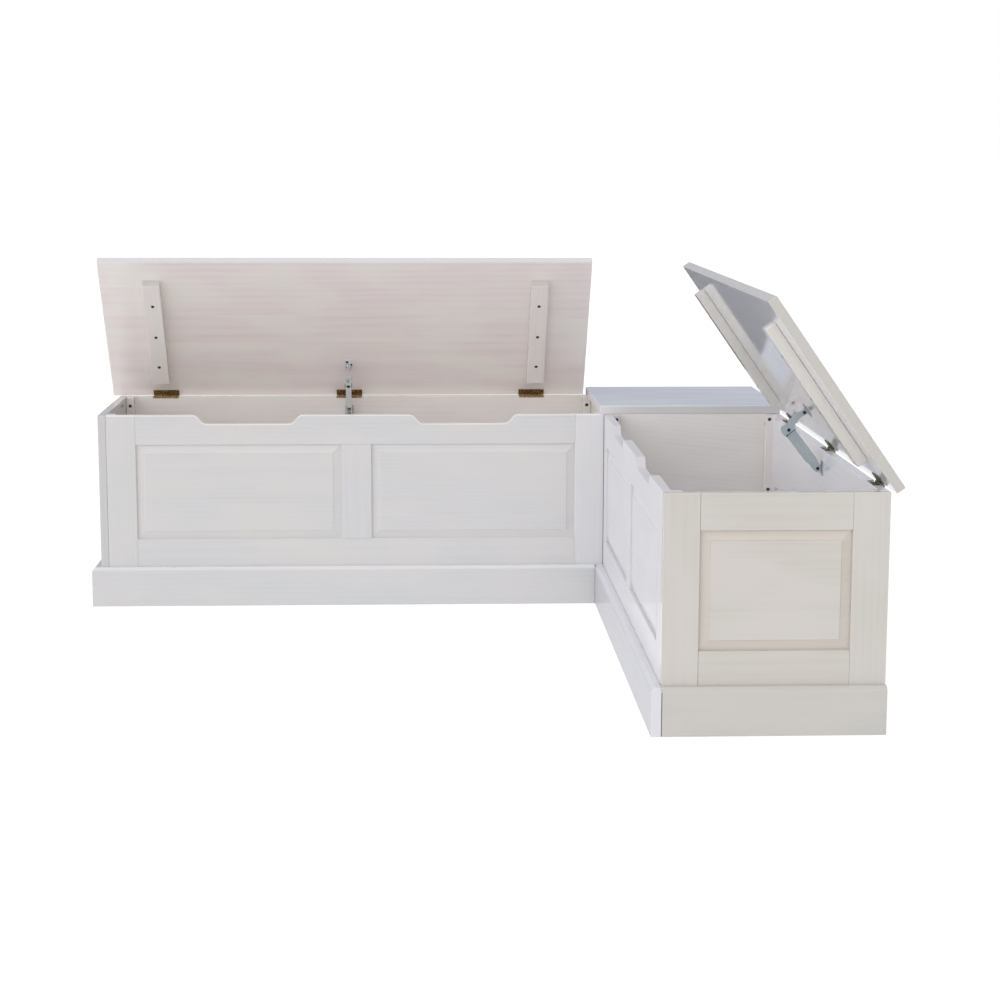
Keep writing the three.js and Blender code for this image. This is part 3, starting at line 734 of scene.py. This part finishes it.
# painted shade: a dark matt tone for the strips in the joints
joint_shade = mottled("painted_joint_shade", "#4b4844", "#66625d", metallic=0.0, rough=0.9)
plinth_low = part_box("right_plinth_long")[0]
rim_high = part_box("left_front_stile_inner")[1]
for joint_name, foot, rise, across, inward in (
    (
        "chest_joint_shade",
        (corner_low.x, corner_low.y, PLINTH_HEIGHT),
        (0, 0, rim_high.z - PLINTH_HEIGHT - ARRIS),
        (-JOINT_SHADE_WIDTH, 0, 0),
        (0, -JOINT_SHADE_WIDTH, 0),
    ),
    (
        "plinth_joint_shade",
        (corner_low.x - JOINT_SHADE_WIDTH, plinth_low.y + JOINT_SUNK, ARRIS),
        (0, 0, PLINTH_HEIGHT - PLINTH_CHAMFER - 2 * ARRIS),
        (2 * JOINT_SHADE_WIDTH, 0, 0),
        (0, JOINT_SHADE_WIDTH, 0),
    ),
):
    joint = thin_bar(joint_name, foot, rise, across, inward)
    joint.data.materials.append(joint_shade)
    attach(joint, "carcass")

# Corner top: a board glued up from pine staves and fixed over the closed corner. It is painted the
# coolest of all, a bluish white, as a painted reflection of a cool sky, and its sawn ends are
# painted lighter, as painted light.
TOP_GLAZE_AND_LIGHT = {
    "white": "#dadfe8",
    "shade": "#d3d8e8",
    "wood": "#c6c2d0",
    "edge": "#dad7d6",
    # sawn ends painted lighter: painted light
    "end": "#f2f2fa",
}
top_pine = white_glazed_pine("pine_corner_top", (1, 0, 0), UP, TOP_GLAZE_AND_LIGHT, show=0.8, staves=True)
dress("corner_top", top_pine)

# Seat lids, glued up from staves along their length, and the battens screwed under them that keep
# them flat. Both stand open as they were photographed.
LID_ANGLE = math.radians(55)
# The lids are painted much lighter than the fronts, as painted light on their shaded undersides,
# and their edges darker, the right lid's most, as painted shade.
LID_GLAZE_AND_LIGHT = {
    "left": {
        "white": "#f0ebe5",
        "shade": "#efe5e3",
        "wood": "#d1bfb3",
        "edge": "#d9d7d9",
        "outer": "#e0e2e8",
    },
    "right": {
        "white": "#f3f4f4",
        "shade": "#f0f0f3",
        "wood": "#d6cbc3",
        "edge": "#c4c0ba",
        "outer": "#e0e2e8",
    },
}
# The battens differ by side as painted light and shade; their sawn ends are darker end grain with
# painted shade.
BATTEN_GLAZE_AND_LIGHT = {
    "left": {"white": "#eeeae4", "shade": "#ece5e2", "wood": "#d3c2b1", "end": "#c9c4c0"},
    "right": {"white": "#dedad3", "shade": "#dbd7d0", "wood": "#c5b7a4", "end": "#cfcbc4"},
}
for side, way in CHESTS.items():
    back = Vector(way["back"])
    underside = -back * math.sin(LID_ANGLE) - Vector(UP) * math.cos(LID_ANGLE)
    slope = -back * math.cos(LID_ANGLE) + Vector(UP) * math.sin(LID_ANGLE)
    lid_pine = white_glazed_pine(
        f"pine_{side}_lid", way["along"], underside, LID_GLAZE_AND_LIGHT[side], show=0.6, staves=True
    )
    dress(f"{side}_lid", lid_pine)
    for place in ("inner", "outer"):
        batten_name = f"{side}_lid_batten_{place}"
        batten_pine = white_glazed_pine(
            f"pine_{batten_name}", slope, underside, BATTEN_GLAZE_AND_LIGHT[side], show=0.5
        )
        dress(batten_name, batten_pine)

# Batten screws: three along the middle of each batten, driven through it into the lid. They are the
# same browned steel as in the cleats, with their heads slightly proud.
HINGE_AXIS = (420 * MM, 447.9 * MM)
BATTEN_FACE = -19.2 * MM
BATTEN_SCREWS = (-305 * MM, -208 * MM, -112 * MM)
BATTEN_MIDDLES = {"left": (141 * MM, 1078 * MM), "right": (131 * MM, 1078 * MM)}


def lid_point(way, u, y, z):
    """Place on the open lid of a point that is y behind the hinge axis and z over it when shut."""
    turned_y = y * math.cos(LID_ANGLE) + z * math.sin(LID_ANGLE)
    turned_z = z * math.cos(LID_ANGLE) - y * math.sin(LID_ANGLE)
    return chest_point(way, u, HINGE_AXIS[0] + turned_y, HINGE_AXIS[1] + turned_z)


for side, way in CHESTS.items():
    below = lid_point(way, 0, 0, -1) - lid_point(way, 0, 0, 0)
    centres = [
        lid_point(way, middle, reach, BATTEN_FACE)
        for middle in BATTEN_MIDDLES[side]
        for reach in BATTEN_SCREWS
    ]
    batten_screws = round_heads(
        f"{side}_batten_screws",
        centres,
        [below] * len(centres),
        SCREW_RADIUS,
        SCREW_CROWN,
        CROSS_DEPTH,
        SCREW_SUNK,
    )
    batten_screws.data.materials.append(browned)
    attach(batten_screws, f"{side}_lid")

# Butt hinges of pressed brass, let in to the walls and each leaf held by three countersunk brass
# screws. Age has browned them: dark patina, and yellow metal where it is rubbed. The right ones
# have turned more olive. The left ones have a narrow lip over the wall's front edge.
HINGE_SCREW_RADIUS = 2.7 * MM
HINGE_SCREW_CROWN = 0.3 * MM
HINGE_CROSS_DEPTH = 0.2 * MM
HINGE_SCREW_SUNK = 0.8 * MM
LEAF_FACE = 1.3 * MM
HINGE_SCREWS = ((-22 * MM, -9.5 * MM), (0.0, -13 * MM), (22 * MM, -9.5 * MM))
HINGE_LENGTH = 64 * MM
PATINA_PATCH = 5 * MM
BRASS_TONES = {
    "left": ("aged_brass", "#7a6142", "#bb9f6c"),
    "right": ("aged_olive_brass", "#625a48", "#9c917a"),
}
LIPS = {"left": ("inner", "middle", "outer"), "right": ()}
LIP_THICKNESS = 1.0 * MM
LIP_DEPTH = 2.3 * MM
LIP_FOOT = 445.2 * MM
LIP_HEIGHT = 5.1 * MM
HINGE_PLACES = {
    "left": (149 * MM, 609.5 * MM, 1070 * MM),
    "right": (139 * MM, 604.5 * MM, 1070 * MM),
}


def aged_brass(name, patina_tone, metal_tone):
    """Dark patina over brass, in patches up to 5 mm across."""
    material, tree = new_material(name)
    here = add_node(tree, "ShaderNodeTexCoord")
    patina = add_node(
        tree,
        "ShaderNodeTexNoise",
        {"Vector": here.outputs["Object"], "Scale": 1 / PATINA_PATCH, "Detail": 4.0},
    )
    rubbed = add_node(
        tree,
        "ShaderNodeMapRange",
        {"Value": patina, "From Min": 0.45, "From Max": 0.7},
        interpolation_type="SMOOTHSTEP",
    )
    colour = add_node(
        tree,
        "ShaderNodeMix",
        {"Factor": rubbed, 6: linear(patina_tone), 7: linear(metal_tone)},
        data_type="RGBA",
    ).outputs[2]
    roughness = add_node(
        tree, "ShaderNodeMapRange", {"Value": patina, "To Min": 0.6, "To Max": 0.34}
    )
    shader = add_node(
        tree,
        "ShaderNodeBsdfPrincipled",
        {"Base Color": colour, "Roughness": roughness, "Metallic": 0.6},
    )
    add_node(tree, "ShaderNodeOutputMaterial", {"Surface": shader})
    return material


for side, way in CHESTS.items():
    brass = aged_brass(*BRASS_TONES[side])
    for place in ("inner", "middle", "outer"):
        for leaf in ("wall", "lid"):
            hinge_leaf = nodes[f"{side}_hinge_{place}_{leaf}_leaf"]
            hinge_leaf.data.materials.clear()
            hinge_leaf.data.materials.append(brass)
    for place, middle in zip(LIPS[side], HINGE_PLACES[side]):
        lip = thin_bar(
            f"{side}_hinge_{place}_lip",
            chest_point(way, middle - HINGE_LENGTH / 2, CHEST_INSIDE[1] - LIP_THICKNESS, LIP_FOOT),
            HINGE_LENGTH * Vector(way["along"]),
            (0, 0, LIP_HEIGHT),
            LIP_DEPTH * Vector(way["back"]),
        )
        lip.data.materials.append(brass)
        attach(lip, "carcass")
    below = lid_point(way, 0, 0, -1) - lid_point(way, 0, 0, 0)
    spots = [
        (place + across, reach) for place in HINGE_PLACES[side] for across, reach in HINGE_SCREWS
    ]
    for leaf, body, centres, facing in (
        (
            "wall",
            "carcass",
            [
                chest_point(way, u, HINGE_AXIS[0] + reach, HINGE_AXIS[1] - LEAF_FACE)
                for u, reach in spots
            ],
            UP,
        ),
        ("lid", f"{side}_lid", [lid_point(way, u, reach, LEAF_FACE) for u, reach in spots], below),
    ):
        hinge_screws = round_heads(
            f"{side}_hinge_{leaf}_screws",
            centres,
            [facing] * len(centres),
            HINGE_SCREW_RADIUS,
            HINGE_SCREW_CROWN,
            HINGE_CROSS_DEPTH,
            HINGE_SCREW_SUNK,
        )
        hinge_screws.data.materials.append(brass)
        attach(hinge_screws, body)

# Lid stays of pressed, zinc-plated steel, which is pale, bluish and softly shiny. The left one is
# painted darker and greyer, as painted shade, and its lower arm and lid plate paler, as painted
# light. Every pivot is a rivet with a near-black middle, and screws hold the brackets: two in the
# wall and three in the lid. A near-black disc below each knee and a dark bar at each cheek's mouth
# are painted shade.
PIVOT_MIDDLE_RADIUS = 3.6 * MM
PIVOT_CROWN = 0.4 * MM
FOOT_GRIP = 7.5 * MM  # a grip is half the length of a rivet
KNEE_GRIP = 9.6 * MM
LID_PIVOT_GRIP = 5.1 * MM
BRACKET_SCREW_RADIUS = 3.6 * MM
BRACKET_SCREW_SPREAD = 9.0 * MM
LID_BRACKET_SCREWS = ((3.5 * MM, -8.5 * MM), (-5.5 * MM, 0.0), (3.5 * MM, 8.5 * MM))
ARM_WEB_FACE = 11.0 * MM
SLOT_SHARE = 0.05
SLOT_RADIUS = 4.4 * MM
SLOT_CROWN = 0.2 * MM
CHEEK_FACE = 8.2 * MM
MOUTH_BELOW = 6.4 * MM
MOUTH_HALF = 10.2 * MM
MOUTH_WIDTH = 1.6 * MM
MOUTH_DEPTH = 0.7 * MM
STOP_PLACE = (7.6 * MM, 9.2 * MM)
STOP_RADIUS = 2.2 * MM
WALL_PLATE_FACE = 396.2 * MM
WALL_PIVOT_HEIGHT = 412 * MM
WALL_PIVOT_OUT = 8.7 * MM
LID_PLATE_FACE = 1.3 * MM
LID_PIVOT_REACH = -102 * MM
LID_PIVOT_BELOW = 4.9 * MM
PAINTED_LIGHT_PARTS = ("lower_arm", "lid_bracket")
SPANGLE = 3 * MM
STAY_PLACES = {"left": 609.5 * MM, "right": 621.5 * MM}


def zinc_plated_steel(name, dark, light):
    """Bluish zinc plate with soft spangles up to 3 mm across."""
    material, tree = new_material(name)
    here = add_node(tree, "ShaderNodeTexCoord")
    spangle = add_node(
        tree,
        "ShaderNodeTexNoise",
        {"Vector": here.outputs["Object"], "Scale": 1 / SPANGLE, "Detail": 3.0},
    )
    colour = add_node(
        tree,
        "ShaderNodeMix",
        {"Factor": spangle, 6: linear(dark), 7: linear(light)},
        data_type="RGBA",
    ).outputs[2]
    roughness = add_node(
        tree, "ShaderNodeMapRange", {"Value": spangle, "To Min": 0.32, "To Max": 0.5}
    )
    shader = add_node(
        tree,
        "ShaderNodeBsdfPrincipled",
        {"Base Color": colour, "Roughness": roughness, "Metallic": 0.25},
    )
    add_node(tree, "ShaderNodeOutputMaterial", {"Surface": shader})
    return material


zinc = zinc_plated_steel("zinc_plated_steel", "#a7b2b6", "#cad4d8")
# darker and paler copies of the zinc for the left stay: painted shade and painted light
painted_shade_zinc = zinc_plated_steel("painted_shade_zinc_plated_steel", "#9da3a2", "#babfbe")
painted_light_zinc = zinc_plated_steel("painted_light_zinc_plated_steel", "#d4dad9", "#eef3f2")
# near-black for the rivet middles and stop heads, and painted shade for the disc below the knee
blackened_and_hollow_shade = mottled("blackened_steel_and_hollow_shade", "#1d2022", "#33383a", metallic=0.4, rough=0.5)
# painted shade: a dark tone for the bars at the cheeks' mouths
worn_zinc = mottled("worn_zinc_edge", "#434b4f", "#5d676b", metallic=0.2, rough=0.5)
for side, way in CHESTS.items():
    along, back = Vector(way["along"]), Vector(way["back"])
    for part in ("wall_bracket", "lower_arm", "upper_arm", "lid_bracket"):
        stay_part = nodes[f"{side}_stay_{part}"]
        stay_part.data.materials.clear()
        plating = zinc
        # the left stay: painted shade, with painted light on its lower arm and lid plate
        if side == "left":
            plating = painted_light_zinc if part in PAINTED_LIGHT_PARTS else painted_shade_zinc
        stay_part.data.materials.append(plating)
    stay = STAY_PLACES[side]
    foot = chest_point(way, stay, WALL_PLATE_FACE - WALL_PIVOT_OUT, WALL_PIVOT_HEIGHT)
    top = lid_point(way, stay, LID_PIVOT_REACH, -LID_PIVOT_BELOW)
    knee = foot + top - chest_point(way, stay, *HINGE_AXIS)
    for label, body, pivots in (
        ("lower", f"{side}_stay_lower", ((foot, FOOT_GRIP), (knee, KNEE_GRIP))),
        ("upper", f"{side}_stay_upper", ((top, LID_PIVOT_GRIP),)),
    ):
        rivet_middles = round_heads(
            f"{side}_stay_{label}_rivet_middles",
            [centre + turn * grip * along for centre, grip in pivots for turn in (1, -1)],
            [turn * along for _ in pivots for turn in (1, -1)],
            PIVOT_MIDDLE_RADIUS,
            PIVOT_CROWN,
            0.0,
            PIVOT_CROWN,
        )
        rivet_middles.data.materials.append(blackened_and_hollow_shade)
        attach(rivet_middles, body)
    arm = (foot - knee).normalized()
    web_normal = arm.cross(along)
    if web_normal.dot(back) > 0:
        web_normal = -web_normal
    # A near-black disc on the lower arm's web just below the knee: painted shade in the opening
    # there.
    slot_shade = round_heads(
        f"{side}_stay_slot",
        [knee + SLOT_SHARE * (foot - knee) + ARM_WEB_FACE * web_normal],
        [web_normal],
        SLOT_RADIUS,
        SLOT_CROWN,
        0.0,
        SLOT_CROWN,
    )
    slot_shade.data.materials.append(blackened_and_hollow_shade)
    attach(slot_shade, f"{side}_stay_lower")
    # A dark bar along each cheek's mouth below the knee: painted shade along the edge of the cheek.
    for turn, label in ((1, "outer"), (-1, "inner")):
        mouth = thin_bar(
            f"{side}_stay_mouth_{label}",
            knee + MOUTH_BELOW * arm - MOUTH_HALF * web_normal + turn * CHEEK_FACE * along,
            2 * MOUTH_HALF * web_normal,
            MOUTH_WIDTH * arm,
            turn * MOUTH_DEPTH * along,
        )
        mouth.data.materials.append(worn_zinc)
        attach(mouth, f"{side}_stay_upper")
    stop_heads = round_heads(
        f"{side}_stay_stop_heads",
        [
            knee + STOP_PLACE[0] * arm + STOP_PLACE[1] * web_normal + turn * CHEEK_FACE * along
            for turn in (1, -1)
        ],
        [turn * along for turn in (1, -1)],
        STOP_RADIUS,
        PIVOT_CROWN,
        0.0,
        PIVOT_CROWN,
    )
    stop_heads.data.materials.append(blackened_and_hollow_shade)
    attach(stop_heads, f"{side}_stay_upper")
    below = lid_point(way, 0, 0, -1) - lid_point(way, 0, 0, 0)
    for label, body, centres, facing in (
        (
            "wall",
            "carcass",
            [
                chest_point(way, stay, WALL_PLATE_FACE, WALL_PIVOT_HEIGHT + spread)
                for spread in (-BRACKET_SCREW_SPREAD, BRACKET_SCREW_SPREAD)
            ],
            -back,
        ),
        (
            "lid",
            f"{side}_lid",
            [
                lid_point(way, stay + aside, LID_PIVOT_REACH + reach, LID_PLATE_FACE)
                for aside, reach in LID_BRACKET_SCREWS
            ],
            below,
        ),
    ):
        bracket_screws = round_heads(
            f"{side}_stay_{label}_bracket_screws",
            centres,
            [facing] * len(centres),
            BRACKET_SCREW_RADIUS,
            HINGE_SCREW_CROWN,
            HINGE_CROSS_DEPTH,
            HINGE_SCREW_SUNK,
        )
        bracket_screws.data.materials.append(browned)
        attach(bracket_screws, body)

# Studio: a wide white floor that keeps the bench's shadow, a pale sky that is brighter on the left,
# and two soft lamps. A grey screen stands behind the bench, and only gloss can see it.
FLOOR_REACH = 30.0
FLOOR_GLOW = 0.93
FLOOR_CARD = (0.88, 0.88, 0.88, 1)
FLOOR_SHADOW = (0.16, 0.16, 0.16, 1)
SCREEN = {"x": (-4.0, 6.0), "y": 3.0, "z": (0.0, 2.0)}
SCREEN_TONES = ("#60636c", "#b4b7bf")
SCREEN_CHANGE = (0.42, 0.62)
SKY_LEFT = (1.15, 1.15, 1.18, 1)
SKY_RIGHT = (0.42, 0.41, 0.4, 1)
SKY_TURN = (-0.6, 0.9)
SKY_ABOVE = (0.68, 0.68, 0.7, 1)
SKY_CLIMB = 0.8
LAMP_WIDTH = math.radians(60)


def staged_sheet(name, corners, tree_maker):
    """A flat sheet of the studio between four corners, with a material from its own node tree."""
    sheet = new_piece(name, corners, [(0, 1, 2, 3)])
    material, tree = new_material(name)
    tree_maker(tree)
    sheet.data.materials.append(material)
    return sheet


def sees_background(tree):
    """1 for a ray of the camera, of gloss or of glass, which sees the background, and else 0."""
    rays = add_node(tree, "ShaderNodeLightPath")
    direct = add_node(
        tree,
        "ShaderNodeMath",
        {0: rays.outputs["Is Camera Ray"], 1: rays.outputs["Is Glossy Ray"]},
        operation="MAXIMUM",
    )
    return add_node(
        tree,
        "ShaderNodeMath",
        {0: direct, 1: rays.outputs["Is Transmission Ray"]},
        operation="MAXIMUM",
    )


def floor_tree(tree):
    """White to the camera and to gloss but for a faint shadow, and pale card to all other light."""
    card = add_node(tree, "ShaderNodeBsdfDiffuse", {"Color": FLOOR_CARD})
    faint = add_node(tree, "ShaderNodeBsdfDiffuse", {"Color": FLOOR_SHADOW})
    glow = add_node(tree, "ShaderNodeEmission", {"Strength": FLOOR_GLOW})
    shown = add_node(tree, "ShaderNodeAddShader", {0: faint, 1: glow})
    mixed = add_node(tree, "ShaderNodeMixShader", {0: sees_background(tree), 1: card, 2: shown})
    add_node(tree, "ShaderNodeOutputMaterial", {"Surface": mixed})


def screen_tree(tree):
    """Grey cloth that is darker near the floor."""
    here = add_node(tree, "ShaderNodeTexCoord")
    rise = add_node(tree, "ShaderNodeSeparateXYZ", {0: here.outputs["Object"]}).outputs[2]
    paler = add_node(
        tree,
        "ShaderNodeMapRange",
        {"Value": rise, "From Min": SCREEN_CHANGE[0], "From Max": SCREEN_CHANGE[1]},
        interpolation_type="SMOOTHSTEP",
    )
    grey = add_node(
        tree,
        "ShaderNodeMix",
        {"Factor": paler, 6: linear(SCREEN_TONES[0]), 7: linear(SCREEN_TONES[1])},
        data_type="RGBA",
    ).outputs[2]
    cloth = add_node(tree, "ShaderNodeEmission", {"Color": grey, "Strength": 1.0})
    add_node(tree, "ShaderNodeOutputMaterial", {"Surface": cloth})


staged_sheet(
    "studio_floor",
    [(x * FLOOR_REACH, y * FLOOR_REACH, 0.0) for x, y in ((-1, -1), (1, -1), (1, 1), (-1, 1))],
    floor_tree,
)
screen = staged_sheet(
    "studio_screen",
    [(SCREEN["x"][i], SCREEN["y"], SCREEN["z"][j]) for i, j in ((0, 0), (1, 0), (1, 1), (0, 1))],
    screen_tree,
)
screen.visible_camera = False
screen.visible_diffuse = False
screen.visible_transmission = False
screen.visible_shadow = False

world = bpy.data.worlds.new("studio")
bpy.context.scene.world = world
world.use_nodes = True
sky = world.node_tree
sky.nodes.clear()
direction = add_node(sky, "ShaderNodeTexCoord")
parts = add_node(sky, "ShaderNodeSeparateXYZ", {0: direction.outputs["Generated"]})
climb = add_node(
    sky,
    "ShaderNodeMapRange",
    {"Value": parts.outputs[2], "From Max": SKY_CLIMB},
    interpolation_type="SMOOTHSTEP",
)
turn = add_node(
    sky,
    "ShaderNodeMapRange",
    {"Value": parts.outputs[0], "From Min": SKY_TURN[0], "From Max": SKY_TURN[1]},
    interpolation_type="SMOOTHSTEP",
)
sides = add_node(
    sky, "ShaderNodeMix", {"Factor": turn, 6: SKY_LEFT, 7: SKY_RIGHT}, data_type="RGBA"
).outputs[2]
sky_colour = add_node(
    sky, "ShaderNodeMix", {"Factor": climb, 6: sides, 7: SKY_ABOVE}, data_type="RGBA"
).outputs[2]
sky_light = add_node(sky, "ShaderNodeBackground", {"Color": sky_colour, "Strength": 1.0})
white_wall = add_node(sky, "ShaderNodeBackground", {"Color": (1, 1, 1, 1), "Strength": 1.0})
backdrop = add_node(
    sky, "ShaderNodeMixShader", {0: sees_background(sky), 1: sky_light, 2: white_wall}
)
add_node(sky, "ShaderNodeOutputWorld", {"Surface": backdrop})


def soft_lamp(name, towards, strength, colour):
    """A lamp so far and so wide that its light falls evenly, from a direction."""
    lamp = bpy.data.lights.new(name, "SUN")
    lamp.energy = strength
    lamp.angle = LAMP_WIDTH
    lamp.color = linear(colour)[:3]
    holder = bpy.data.objects.new(name, lamp)
    holder.rotation_euler = Vector(towards).to_track_quat("Z", "Y").to_euler()
    bpy.context.scene.collection.objects.link(holder)


soft_lamp("front_light", (-0.1, -0.97, 0.21), 0.7, "#fffcfa")
soft_lamp("left_light", (-0.8, -0.3, 0.52), 0.85, "#eff5ff")

# The camera of the photograph. Its place, tilt and lens were fitted to about 40 edges and corners
# of the bench, together with the bench's sizes.
CAMERA_PLACE = (-0.07802, -4.62592, 1.05943)
CAMERA_PITCH = math.radians(9.2066)
CAMERA_YAW = math.radians(2.4765)
CAMERA_ROLL = math.radians(0.1352)
CAMERA_LENS = 77.355
camera = bpy.data.objects.new("camera", bpy.data.cameras.new("camera"))
camera.data.lens = CAMERA_LENS
camera.data.sensor_width = 36
camera.location = CAMERA_PLACE
forward = Vector(
    (
        math.sin(CAMERA_YAW) * math.cos(CAMERA_PITCH),
        math.cos(CAMERA_YAW) * math.cos(CAMERA_PITCH),
        -math.sin(CAMERA_PITCH),
    )
)
level = Vector((math.cos(CAMERA_YAW), -math.sin(CAMERA_YAW), 0))
steep = level.cross(forward)
right = math.cos(CAMERA_ROLL) * level + math.sin(CAMERA_ROLL) * steep
top = -math.sin(CAMERA_ROLL) * level + math.cos(CAMERA_ROLL) * steep
camera.rotation_euler = Matrix((right, top, -forward)).transposed().to_euler()
bpy.context.scene.collection.objects.link(camera)
bpy.context.scene.camera = camera
bpy.context.scene.view_settings.view_transform = "Standard"
